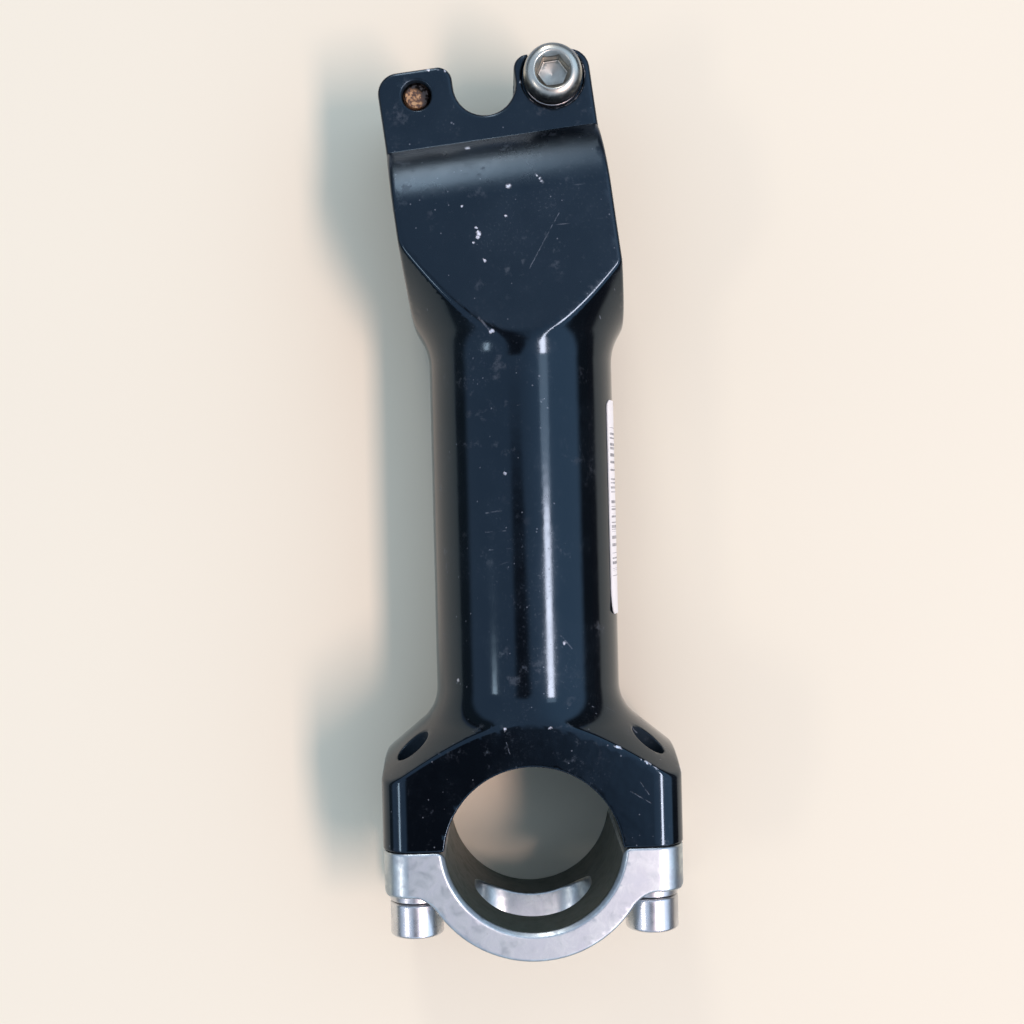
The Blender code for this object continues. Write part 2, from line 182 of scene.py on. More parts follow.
def face_bolt_distance(y, z):
    """Distance from the nearest faceplate bolt's axis."""
    return np.hypot(np.abs(y) - FACE_BOLT_Y, np.abs(z) - FACE_BOLT_Z)


def steerer_coordinates(x, y):
    """Distances square to the steerer's axis and along it from the middle of its clamp."""
    u = x * math.cos(STEERER_ANGLE) + y * math.sin(STEERER_ANGLE)
    s = y * math.cos(STEERER_ANGLE) - x * math.sin(STEERER_ANGLE) - STACK_SHIFT
    return u, s


def body_field(p):
    """The one-piece body."""
    edge_width = 0.55
    x, y, z = p.T
    u, s = steerer_coordinates(x, y)
    spread = np.hypot(y, z)
    rear = flare(spread, REAR_CONE[0] - x, *REAR_CONE[1:])
    front = flare(spread, x - FRONT_CONE[0], *FRONT_CONE[1:])
    turned = np.where(x < STEM_LENGTH / 2, rear, front)

    barrel = np.hypot(np.minimum(u, 0), z) - STEERER_RADIUS
    barrel = soft_max(barrel, np.abs(z) - SIDE_FLAT, 0.08)
    steerer = round_join(barrel, np.abs(z) - LUG_HALF_THICKNESS, LUG_FILLET)
    outline = round_corner(-LUG_REACH - u, np.abs(s) - STACK_HEIGHT / 2, LUG_CORNER)
    notch = np.hypot(np.maximum(u + NOTCH_CENTRE, 0), s) - NOTCH_RADIUS
    outline = round_corner(outline, -notch, LUG_INNER_CORNER)
    steerer = soft_max(steerer, outline, 1.0)
    clamp = rounded_box(y, z, CLAMP_HEIGHT, CLAMP_WIDTH, CLAMP_CORNER)
    solid = soft_max(turned, np.where(x < REAR_CONE[0] + 1.3, steerer, clamp), edge_width)
    solid = soft_max(solid, x - SPLIT_X, 0.4)

    hollow = np.maximum(spread - HOLLOW_RADIUS, -x)
    slot = np.maximum(np.abs(z) - SLOT_WIDTH / 2, u)
    face_holes = np.maximum(face_bolt_distance(y, z) - THREAD_HOLE_RADIUS, TUBE_RADIUS - x)
    cuts = [
        (np.hypot(u, z) - STEERER_BORE / 2, 0.8),
        (np.hypot(x - STEM_LENGTH, y) - BAR_BORE / 2, 0.35),
        (hollow, 0.3),
        (slot, 0.4),
        (face_holes, 0.5),
    ]
    for side in (-1, 1):
        axis = np.hypot(u + PINCH_BOLT_REACH, s - side * PINCH_BOLT_S)
        entry = np.maximum(axis - CLEARANCE_HOLE_RADIUS, -side * z)
        bolt = np.minimum(axis - THREAD_HOLE_RADIUS, entry)
        seat = np.maximum(axis - PINCH_SPOTFACE_RADIUS, PINCH_SEAT - side * z)
        cuts += [(bolt, 0.5), (seat, 0.4)]
    for cut, blend in cuts:
        solid = soft_max(solid, -cut, blend)
    return solid


def faceplate_field(p):
    """The removable front half of the bar clamp."""
    x, y, z = p.T
    x = x - FACEPLATE_BORE_X
    rear = FACEPLATE_SPLIT_X - FACEPLATE_BORE_X
    front = rear + EAR_THICKNESS
    spread = np.hypot(x, y)
    ears = round_corner(x - front, np.abs(y) - CLAMP_HEIGHT / 2, EAR_CORNER)
    plate = round_join(ears, spread - RING_RADIUS, RING_FILLET)
    plate = round_corner(plate, np.maximum(rear - x, -x), 0.2)
    plate = round_corner(plate, BAR_BORE / 2 - spread, EAR_INNER_CORNER)
    plate = soft_max(plate, rounded_box(y, z, CLAMP_HEIGHT, CLAMP_WIDTH, CLAMP_CORNER), 0.6)
    rim = (np.abs(z) - CLAMP_WIDTH / 2 - spread + BAR_BORE / 2 + BORE_CHAMFER) / math.sqrt(2)
    plate = soft_max(plate, rim, 0.2)
    window = np.maximum(rounded_box(y, z, WINDOW_WIDTH, WINDOW_HEIGHT, WINDOW_CORNER), -x)
    holes = face_bolt_distance(y, z)
    seats = np.maximum(holes - FACE_SPOTFACE_RADIUS, front - x)
    for cut, blend in ((window, 0.5), (holes - CLEARANCE_HOLE_RADIUS, 0.4), (seats, 0.3)):
        plate = soft_max(plate, -cut, blend)
    return plate


def head_field(radius, height, rim, depth, bevel):
    """A socket head standing on Z = 0."""

    def field(p):
        x, y, z = p.T
        spread = np.hypot(x, y)
        head = round_corner(spread - radius, z - height, rim)
        head = soft_max(head, 0.02 - z, 0.1)
        head = soft_max(head, (spread - radius + bevel - z) / math.sqrt(2), 0.15)
        flats = [np.abs(x * math.cos(a) + y * math.sin(a)) for a in np.radians([0, 60, 120])]
        hexagon = soft_max(soft_max(flats[0], flats[1], 0.12), flats[2], 0.12) - SOCKET_FLATS / 2
        floor = height - depth - 0.35 * np.maximum(1 - spread / SOCKET_CONE_RADIUS, 0)
        socket = soft_max(hexagon, floor - z, 0.3)
        mouth = (spread - SOCKET_MOUTH_RADIUS + (height - z)) / math.sqrt(2)
        return soft_max(soft_max(head, -socket, 0.12), -mouth, 0.15)

    return field


# Meshes.


def gradient(field, p):
    """The field's slope at each point, by central differences."""
    step = 0.004
    columns = []
    for axis in range(3):
        shift = np.zeros(3)
        shift[axis] = step
        columns.append((field(p + shift) - field(p - shift)) / (2 * step))
    return np.stack(columns, axis=1)


def settle(field, points, rounds=4):
    """Moves points onto the surface and returns them with its outward normals."""
    for _ in range(rounds):
        slope = gradient(field, points)
        steepness = np.maximum((slope**2).sum(axis=1), 0.05)
        points = points - slope * (field(points) / steepness)[:, None]
    slope = gradient(field, points)
    return points, slope / np.maximum(np.linalg.norm(slope, axis=1), 1e-9)[:, None]


def surface_net(field, low, high, cell):
    """Triangles round the space where the field is negative, a point in each cell it passes."""
    counts = np.ceil((np.array(high) - low) / cell).astype(int) + 1
    axes = [low[axis] + cell * np.arange(counts[axis]) for axis in range(3)]
    grid = np.stack(np.meshgrid(*axes, indexing="ij"), axis=-1).reshape(-1, 3)
    values = field(grid).reshape(counts)
    cells = tuple(counts - 1)
    total = np.zeros((*cells, 3))
    hits = np.zeros(cells)
    crossings = []
    for axis in range(3):
        start = values.take(range(counts[axis] - 1), axis=axis)
        end = values.take(range(1, counts[axis]), axis=axis)
        crossed = (start < 0) != (end < 0)
        share = np.where(crossed, start / np.where(crossed, start - end, 1), 0)
        crossings.append(crossed)
        others = [other for other in range(3) if other != axis]
        for first in (0, 1):
            for second in (0, 1):
                window = [slice(None)] * 3
                window[others[0]] = slice(first, first + cells[others[0]])
                window[others[1]] = slice(second, second + cells[others[1]])
                window = tuple(window)
                total[..., axis] += share[window]
                total[..., others[0]] += first * crossed[window]
                total[..., others[1]] += second * crossed[window]
                hits += crossed[window]
    used = hits > 0
    number = np.full(cells, -1)
    number[used] = np.arange(used.sum())
    points = (np.argwhere(used) + total[used] / hits[used][:, None]) * cell + low
    triangles = []
    for axis, crossed in enumerate(crossings):
        others = [other for other in range(3) if other != axis]
        at = np.argwhere(crossed)
        inner = np.all([(at[:, o] > 0) & (at[:, o] < counts[o] - 1) for o in others], axis=0)
        at = at[inner]
        corners = []
        for first, second in ((1, 1), (0, 1), (0, 0), (1, 0)):
            place = at.copy()
            place[:, others[0]] -= first
            place[:, others[1]] -= second
            corners.append(number[tuple(place.T)])
        a, b, c, d = corners
        triangles += [np.stack([a, b, c], axis=1), np.stack([a, c, d], axis=1)]
    return points, np.concatenate(triangles)


def face_outwards(points, triangles, normals):
    """The triangles, each wound so that it faces along its normals."""
    a, b, c = (points[triangles[:, corner]] for corner in range(3))
    away = (np.cross(b - a, c - a) * normals[triangles].sum(axis=1)).sum(axis=1) < 0
    triangles[away] = triangles[away][:, [0, 2, 1]]
    return triangles


def refine(field, points, normals, triangles, turn, shortest):
    """Halves each edge across which the surface turns by more than that angle."""
    sides = np.stack([triangles, np.roll(triangles, -1, axis=1)], axis=-1).reshape(-1, 2)
    keys = np.sort(sides, axis=1) @ [len(points), 1]
    unique, index = np.unique(keys, return_inverse=True)
    ends = np.stack([unique // len(points), unique % len(points)], axis=1)
    bend = (normals[ends[:, 0]] * normals[ends[:, 1]]).sum(axis=1)
    length = np.linalg.norm(points[ends[:, 0]] - points[ends[:, 1]], axis=1)
    split = (bend < math.cos(turn)) & (length > shortest)
    middle, middle_normals = settle(field, points[ends[split]].mean(axis=1), 3)
    new = np.full(len(unique), -1)
    new[split] = len(points) + np.arange(split.sum())
    marks = new[index].reshape(-1, 3)
    count = (marks >= 0).sum(axis=1)
    made = [triangles[count == 0]]
    for first in range(3):
        order = [first, (first + 1) % 3, (first + 2) % 3]
        v, m = triangles[:, order], marks[:, order]
        one = (count == 1) & (m[:, 0] >= 0)
        made += [
            np.stack([v[one, 0], m[one, 0], v[one, 2]], axis=1),
            np.stack([m[one, 0], v[one, 1], v[one, 2]], axis=1),
        ]
        two = (count == 2) & (m[:, 2] < 0)
        made += [
            np.stack([m[two, 0], v[two, 1], m[two, 1]], axis=1),
            np.stack([v[two, 0], m[two, 0], m[two, 1]], axis=1),
            np.stack([v[two, 0], m[two, 1], v[two, 2]], axis=1),
        ]
    all_three = count == 3
    v, m = triangles[all_three], marks[all_three]
    made += [
        np.stack([v[:, 0], m[:, 0], m[:, 2]], axis=1),
        np.stack([m[:, 0], v[:, 1], m[:, 1]], axis=1),
        np.stack([m[:, 2], m[:, 1], v[:, 2]], axis=1),
        m,
    ]
    return (
        np.concatenate([points, middle]),
        np.concatenate([normals, middle_normals]),
        np.concatenate(made),
    )


def skin(field, low, high, cell, turn, shortest, rounds=3):
    """The field's surface as points, normals and triangles, finest where it turns fastest."""
    points, triangles = surface_net(field, np.array(low), np.array(high), cell)
    points, normals = settle(field, points, 6)
    for _ in range(rounds):
        points, normals, triangles = refine(field, points, normals, triangles, turn, shortest)
    return points, normals, face_outwards(points, triangles, normals)


def sharpness(field, points, normals, reach):
    """How far the surface falls away within reach: over 0 on an edge, under 0 in a corner."""
    helper = np.where(np.abs(normals[:, :1]) > 0.8, [[0, 1, 0]], [[1, 0, 0]])
    side = np.cross(normals, helper)
    side /= np.linalg.norm(side, axis=1)[:, None]
    other = np.cross(normals, side)
    total = 0
    for direction in (side, -side, other, -other):
        total = total + field(points + direction * reach)
    return total / (4 * reach)


def grid_faces(rows, columns, closed=True):
    """Triangles of a grid of points, whose columns close on themselves unless told otherwise."""
    row, column = np.meshgrid(np.arange(rows - 1), np.arange(columns - (not closed)), indexing="ij")
    after = (column + 1) % columns
    a, b = row * columns + column, row * columns + after
    c, d = a + columns, b + columns
    halves = [np.stack(corners, -1).reshape(-1, 3) for corners in ([a, b, d], [a, d, c])]
    return np.concatenate(halves)


def mean_normals(points, triangles):
    """Vertex normals weighted by the size of the faces."""
    a, b, c = (points[triangles[:, corner]] for corner in range(3))
    face = np.cross(b - a, c - a)
    normals = np.zeros_like(points)
    for corner in range(3):
        np.add.at(normals, triangles[:, corner], face)
    return normals / np.maximum(np.linalg.norm(normals, axis=1), 1e-12)[:, None]


def join(*meshes):
    """Several meshes as one."""
    start, points, normals, triangles = 0, [], [], []
    for mesh_points, mesh_normals, mesh_triangles in meshes:
        points.append(mesh_points)
        normals.append(mesh_normals)
        triangles.append(mesh_triangles + start)
        start += len(mesh_points)
    return np.concatenate(points), np.concatenate(normals), np.concatenate(triangles)


def spun(profile, sides):
    """A closed profile of (radius, height) pairs spun about Z, as points and triangles."""
    profile = np.array(profile)
    angles = np.arange(sides) * 2 * math.pi / sides
    x = profile[:, :1] * np.cos(angles)
    y = profile[:, :1] * np.sin(angles)
    z = np.repeat(profile[:, 1:], sides, axis=1)
    return np.stack([x, y, z], axis=-1).reshape(-1, 3), grid_faces(len(profile), sides)


def corner_arc(centre, radius, start, end, steps=6):
    """Points along an arc between two angles in degrees."""
    angles = np.radians(np.linspace(start, end, steps + 1))
    return list(zip(centre[0] + radius * np.cos(angles), centre[1] + radius * np.sin(angles)))


def thread(length, sides=36, rows_a_turn=12):
    """A threaded shank below Z = 0 with a chamfered tip."""
    heights = np.linspace(-length, 0.05, int(length / THREAD_PITCH * rows_a_turn) + 1)
    angles = np.arange(sides) * 2 * math.pi / sides
    z, angle = np.meshgrid(heights, angles, indexing="ij")
    phase = (z / THREAD_PITCH - angle / (2 * math.pi)) % 1.0
    rise = np.clip(2.6 * np.abs(2 * phase - 1) - 0.8, 0, 1)
    radius = THREAD_ROOT + (THREAD_CREST - THREAD_ROOT) * rise
    tip_radius = THREAD_CREST - THREAD_TIP
    radius = np.minimum(radius, tip_radius + z + length)
    points = np.stack([radius * np.cos(angle), radius * np.sin(angle), z], axis=-1).reshape(-1, 3)
    triangles = grid_faces(len(heights), sides)
    hollow = [(0, 0.12 - length), (1.2, 0.05 - length), (tip_radius, -length)]
    dish, dish_faces = spun(hollow, sides)
    return join(
        (points, mean_normals(points, triangles), triangles),
        (dish, mean_normals(dish, dish_faces), dish_faces),
    )


def bolt_mesh(length, radius, height, rim, depth, bevel):
    """A socket-head bolt whose head stands on Z = 0."""
    field = head_field(radius, height, rim, depth, bevel)
    reach = radius + 0.6
    low, high = (-reach, -reach, -0.5), (reach, reach, height + 0.6)
    head = skin(field, low, high, cell=0.42, turn=math.radians(10), shortest=0.05)
    return join(head, thread(length))


def washer_mesh(radius, thickness):
    """A flat washer with round edges, standing on Z = 0."""
    hole, round_edge = CLEARANCE_HOLE_RADIUS, 0.22
    profile = []
    for centre_x, centre_z, start in (
        (radius - round_edge, round_edge, -90),
        (radius - round_edge, thickness - round_edge, 0),
        (hole + round_edge, thickness - round_edge, 90),
        (hole + round_edge, round_edge, 180),
    ):
        profile += corner_arc((centre_x, centre_z), round_edge, start, start + 90)
    profile.append(profile[0])
    points, triangles = spun(profile, 64)
    return points, mean_normals(points, triangles), triangles


def bolt_painted_shade(mesh, height, shaded_below, reach):
    """Where a bolt's colour is darkened as painted shade: in its socket, and low on its head where
    X is past -reach.
    """
    x, y, z = mesh[0].T
    socket = (np.hypot(x, y) < SOCKET_MOUTH_RADIUS - 0.3) & (z > 0) & (z < height - 0.3)
    low = np.clip((shaded_below - z) / 0.5, 0, 1) * (z > -0.2)
    side = low * np.clip((x + reach) / 3, 0, 0.95)
    return [("grime_and_shade", np.maximum(socket * 0.3, side))]


def label_mesh():
    """The sticker: a thin curved sheet with round corners and one corner just lifting."""
    rows, columns = 60, 48
    along = np.linspace(-1, 1, rows)
    around = np.linspace(-1, 1, columns)
    a, b = np.meshgrid(along, around, indexing="ij")
    half_length = LABEL_LENGTH / 2
    half_width = LABEL_HALF_ANGLE * TUBE_RADIUS
    # Rows near the ends are drawn in so that the sheet's corners are round.
    from_end = np.maximum(LABEL_CORNER - (1 - np.abs(a)) * half_length, 0)
    pull = LABEL_CORNER - np.sqrt(np.maximum(LABEL_CORNER**2 - from_end**2, 0))
    b = b * (1 - pull / half_width)
    angle = math.pi / 2 + b * LABEL_HALF_ANGLE
    lift = 6.0 * np.clip(a + b - 1.75, 0, 1) ** 2
    x = LABEL_START + half_length * (1 + a)
    sheets = []
    for height in (LABEL_GAP + LABEL_THICKNESS, LABEL_GAP):
        radius = TUBE_RADIUS + height + lift
        sheet = np.stack([x, radius * np.sin(angle), radius * -np.cos(angle)], axis=-1)
        sheets.append(sheet.reshape(-1, 3))
    faces = grid_faces(rows, columns, closed=False)
    start = rows * columns
    ring = np.concatenate(
        [
            np.arange(columns),
            np.arange(1, rows) * columns + columns - 1,
            (rows - 1) * columns + np.arange(columns - 2, -1, -1),
            np.arange(rows - 2, 0, -1) * columns,
        ]
    )
    after = np.roll(ring, -1)
    upper = np.stack([ring, after, after + start], axis=1)
    lower = np.stack([ring, after + start, ring + start], axis=1)
    points = np.concatenate(sheets)
    triangles = np.concatenate([faces, faces[:, ::-1] + start, upper, lower])
    return points, mean_normals(points, triangles), triangles


def place(mesh, matrix):
    """A mesh moved by a rigid 4x4 matrix, in millimetres."""
    points, normals, triangles = mesh
    matrix = np.array(matrix)
    return points @ matrix[:3, :3].T + matrix[:3, 3], normals @ matrix[:3, :3].T, triangles


def show(name, mesh, material, body, node, attributes=()):
    """A new piece that stands for a CAD node."""
    points, normals, triangles = mesh
    data = bpy.data.meshes.new(name)
    data.from_pydata(((points + ORIGIN) * MM).tolist(), [], triangles.tolist())
    data.shade_smooth()
    data.normals_split_custom_set_from_vertices(normals.tolist())
    for label, values in attributes:
        made = data.attributes.new(label, "FLOAT", "POINT")
        made.data.foreach_set("value", values.astype(np.float32))
    data.materials.append(material)
    piece = bpy.data.objects.new(name, data)
    bpy.context.scene.collection.objects.link(piece)
    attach(piece, body)
    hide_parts(node)
    return piece


def on_body(x, y):
    """The point on the body's upper side at that X and Y, in the row frame."""
    heights = np.arange(CLAMP_WIDTH / 2 + 0.5, -CLAMP_WIDTH / 2, -0.02)
    column = np.stack([np.full_like(heights, x), np.full_like(heights, y), heights], axis=1)
    top = heights[np.argmax(body_field(column) < 0)]
    return tuple((np.array([x, y, top]) + ORIGIN) * MM)


# Materials.

# Where the paint is chipped: X, Y and radius, in millimetres.
CHIPS = (
    (-12.0, -8.7, 0.62),
    (-3.8, -1.5, 0.48),
    (-5.6, 3.5, 0.26),
    (-5.1, 3.9, 0.3),
    (-4.6, 4.3, 0.28),
    (3.6, -7.5, 0.3),
    (4.5, -7.1, 0.5),
    (5.2, -7.3, 0.4),
    (-0.3, -9.9, 0.3),
    (9.2, -6.2, 0.28),
    (6.2, -8.0, 0.25),
    (1.5, -2.2, 0.28),
    (-24.3, 1.2, 0.35),
    (-23.5, -16.2, 0.3),
    (-26.9, -15.6, 0.32),
    (-26.7, -12.6, 0.32),
    (47.0, -3.5, 0.3),
    (77.6, 6.4, 0.4),
    (84.2, -12.9, 0.4),
    (92.3, -4.6, 0.35),
    (92.1, 3.4, 0.35),
    (21.8, -5.2, 0.5),
)

# Where it is scratched: from X and Y, to X and Y, and the half width.
STROKES = (
    ((1.2, 7.2), (10.8, 1.8), 0.13),
    ((-6.0, 3.2), (-4.3, 4.5), 0.36),
    ((19.4, -7.4), (21.8, -5.4), 0.3),
    ((35.0, -1.0), (34.0, 3.9), 0.16),
    ((76.2, 5.8), (78.6, 7.8), 0.2),
    ((54.0, -7.0), (53.6, -4.2), 0.18),
    ((57.4, -7.2), (57.2, -3.6), 0.14),
    ((60.6, -6.6), (60.4, -2.6), 0.12),
    ((103.8, 17.4), (106.0, 21.0), 0.16),
    ((102.0, 19.0), (104.4, 20.6), 0.14),
    ((94.6, -4.4), (96.6, -3.8), 0.12),
)


class Nodes:
    """A node tree, with short calls for the nodes in it."""

    def __init__(self, tree):
        self.tree = tree

    def set(self, socket, value):
        if isinstance(value, bpy.types.NodeSocket):
            self.tree.links.new(value, socket)
        else:
            socket.default_value = value

    def node(self, kind, inputs=(), **settings):
        made = self.tree.nodes.new(kind)
        for key, value in settings.items():
            setattr(made, key, value)
        for key, value in dict(inputs).items():
            self.set(made.inputs[key], value)
        return made

    def math(self, operation, a, b=0.0, clamp=False):
        settings = {"operation": operation, "use_clamp": clamp}
        return self.node("ShaderNodeMath", {0: a, 1: b}, **settings).outputs[0]

    def times(self, a, b):
        return self.math("MULTIPLY", a, b)

    def plus(self, a, b):
        return self.math("ADD", a, b)

    def most(self, first, *others):
        """The largest of several values."""
        for other in others:
            first = self.math("MAXIMUM", first, other)
        return first

    def vector(self, operation, a, b=(0, 0, 0)):
        return self.node("ShaderNodeVectorMath", {0: a, 1: b}, operation=operation)

    def split(self, vector):
        return self.node("ShaderNodeSeparateXYZ", {0: vector}).outputs

    def mix(self, factor, a, b):
        """A mix of two colours, each a socket or three numbers."""
        a, b = ((*c, 1) if isinstance(c, tuple) else c for c in (a, b))
        made = self.node("ShaderNodeMix", {0: factor, 6: a, 7: b}, data_type="RGBA")
        return made.outputs[2]

    def steps(self, value, low, high, to_low=0.0, to_high=1.0):
        """A smooth step from one value to another."""
        inputs = {0: value, 1: low, 2: high, 3: to_low, 4: to_high}
        made = self.node("ShaderNodeMapRange", inputs, interpolation_type="SMOOTHSTEP")
        return made.outputs[0]

    def camera_sees(self):
        return self.node("ShaderNodeLightPath").outputs["Is Camera Ray"]


class Shader(Nodes):
    """A Principled material."""

    def __init__(self, name):
        self.material = bpy.data.materials.new(name)
        self.material.use_nodes = True
        super().__init__(self.material.node_tree)
        self.principled = self.tree.nodes["Principled BSDF"]
        self.coordinates = self.node("ShaderNodeTexCoord").outputs["Object"]

    def surface(self, **inputs):
        for key, value in inputs.items():
            self.set(self.principled.inputs[key.replace("_", " ")], value)

    def noise(self, scale, detail=3.0, roughness=0.55, coordinates=None, distortion=0.0):
        inputs = {
            "Vector": coordinates or self.coordinates,
            "Scale": scale,
            "Detail": detail,
            "Roughness": roughness,
            "Distortion": distortion,
        }
        return self.node("ShaderNodeTexNoise", inputs).outputs["Fac"]

    def cells(self, scale, coordinates):
        return self.node("ShaderNodeTexVoronoi", {"Vector": coordinates, "Scale": scale})

    def attribute(self, name):
        return self.node("ShaderNodeAttribute", attribute_name=name).outputs["Fac"]

    def flattened(self, turn, scale):
        """Coordinates that lean through the part's depth, turned and stretched, for its marks."""
        x, y, z = self.split(self.coordinates)
        x = self.plus(x, self.times(z, 0.9))
        y = self.plus(y, self.times(z, 0.6))
        sheared = self.node("ShaderNodeCombineXYZ", {0: x, 1: y}).outputs[0]
        inputs = {"Vector": sheared, "Rotation": (0, 0, turn)}
        turned = self.node("ShaderNodeMapping", inputs).outputs[0]
        return self.node("ShaderNodeMapping", {"Vector": turned, "Scale": scale}).outputs[0]

    def distance(self, place):
        """Distance from a point of the row frame, in metres."""
        return self.vector("DISTANCE", self.coordinates, tuple(place)).outputs["Value"]

    def scratches(self, turn, scale, width, share, stretch=0.05):
        """Thin straight lines that taper at both ends, in a share of the cells."""
        cells = self.cells(scale, self.flattened(turn, (stretch, 1.0, 1.0)))
        line = self.steps(cells.outputs["Distance"], width, 0.0)
        return self.times(line, self.math("LESS_THAN", cells.outputs["Color"], share))

    def specks(self, scale, size, share):
        """Small round marks, in a share of the cells."""
        cells = self.cells(scale, self.flattened(0.3, (1.0, 1.0, 1.0)))
        marks = self.steps(cells.outputs["Distance"], size, size * 0.5)
        return self.times(marks, self.math("LESS_THAN", cells.outputs["Color"], share))

    def shaken(self, reach):
        """The object's coordinates, stirred a little so that marks come out ragged."""
        inputs = {"Vector": self.coordinates, "Scale": 1500.0, "Detail": 2.0}
        stir = self.node("ShaderNodeTexNoise", inputs).outputs["Color"]
        stir = self.vector("SUBTRACT", stir, (0.5, 0.5, 0.5)).outputs[0]
        stir = self.vector("MULTIPLY", stir, (reach, reach, reach)).outputs[0]
        return self.vector("ADD", self.coordinates, stir).outputs[0]

    def chips(self, places):
        """Ragged marks on the upper side, each at its X and Y with its radius, in millimetres."""
        moved = self.shaken(0.9 * MM)
        total = 0.0
        for x, y, size in places:
            near = self.vector("DISTANCE", moved, on_body(x, y)).outputs["Value"]
            total = self.most(total, self.steps(near, size * 1.15 * MM, size * 0.3 * MM))
        return total

    def strokes(self, lines):
        """Scratches on the upper side from one X and Y to another, each with its half width."""
        moved = self.shaken(0.2 * MM)
        total = 0.0
        for start, end, size in lines:
            start, end = Vector(on_body(*start)), Vector(on_body(*end))
            along = end - start
            offset = self.vector("SUBTRACT", moved, start).outputs[0]
            scaled = along / along.length_squared
            share = self.vector("DOT_PRODUCT", offset, scaled).outputs["Value"]
            share = self.math("ADD", share, 0.0, clamp=True)
            inputs = {0: along, 3: share}
            foot = self.node("ShaderNodeVectorMath", inputs, operation="SCALE").outputs[0]
            near = self.vector("DISTANCE", offset, foot).outputs["Value"]
            total = self.most(total, self.steps(near, size * MM, 0.0))
        return self.times(total, self.steps(self.noise(900.0, 3.0, 0.7), 0.36, 0.62))

    def bump(self, height, strength, distance, **inputs):
        inputs |= {"Height": height, "Strength": strength, "Distance": distance}
        return self.node("ShaderNodeBump", inputs).outputs[0]


def paint_material():
    """Black paint: dust, fine scratches, chips and rubbed edges that show bare metal."""
    s = Shader("gloss_black_paint")
    ragged = s.math("SUBTRACT", s.noise(1100.0, 3.0, 0.6), 0.5)
    patchy = s.math("SUBTRACT", s.noise(240.0, 2.0), 0.5)
    wear = s.plus(s.attribute("edge"), s.times(ragged, 0.7))
    wear = s.steps(s.plus(wear, s.times(patchy, 0.9)), 0.66, 0.8)
    chips = s.times(s.chips(CHIPS), s.steps(s.noise(1300.0, 2.0), 0.3, 0.6, 0.45, 1.0))
    bare = s.most(wear, chips)

    strokes = s.strokes(STROKES)
    specks = s.most(s.specks(900.0, 0.16, 0.22), s.specks(420.0, 0.1, 0.16))
    scratch = s.most(s.scratches(0.5, 420.0, 0.07, 0.12), s.scratches(-1.1, 380.0, 0.06, 0.12))
    scratch = s.times(scratch, s.steps(s.noise(60.0, 2.0), 0.35, 0.6))
    across = s.scratches(1.5, 640.0, 0.1, 0.3, 0.1)
    across = s.times(across, s.steps(s.noise(75.0, 1.0), 0.5, 0.62))
    scratch = s.most(scratch, across)
    haze = s.steps(s.noise(70.0, 4.0, 0.65), 0.42, 0.75)
    dust = s.times(s.steps(s.noise(1900.0, 3.0, 0.7), 0.56, 0.74), haze)
    smudge = s.steps(s.noise(360.0, 4.0, 0.7), 0.56, 0.72)
    smudge = s.times(smudge, s.steps(s.noise(85.0, 1.0), 0.46, 0.6))
    shares = ((specks, 0.26), (scratch, 0.16), (strokes, 0.26), (dust, 0.08), (smudge, 0.07))
    dull = s.most(*(s.times(mark, share) for mark, share in shares))

    tone = s.mix(haze, (0.0014, 0.002, 0.003), (0.003, 0.0045, 0.0065))
    tone = s.mix(dull, tone, (0.30, 0.33, 0.37))
    tone = s.mix(bare, tone, (0.62, 0.64, 0.68))
    # The steerer clamp is satin. The tube and the bar clamp are glossy.
    roughness = s.plus(s.times(haze, 0.05), 0.11)
    roughness = s.plus(roughness, s.times(s.attribute("satin"), 0.16))
    marked = s.most(bare, scratch, dust, smudge)
    roughness = s.plus(roughness, s.times(marked, 0.2))
    roughness = s.most(roughness, s.times(s.attribute("grime_and_shade"), 0.85))
    relief = s.math("SUBTRACT", s.times(s.most(scratch, strokes), -0.2), bare)
    peel = s.bump(s.noise(420.0, 1.0), 0.05, 0.0002)
    s.surface(
        Base_Color=tone,
        Roughness=roughness,
        Metallic=s.times(bare, 0.8),
        Normal=s.bump(relief, 0.6, 0.00005, Normal=peel),
        Specular_Tint=(0.50, 0.76, 1.0, 1.0),
    )
    return s.material


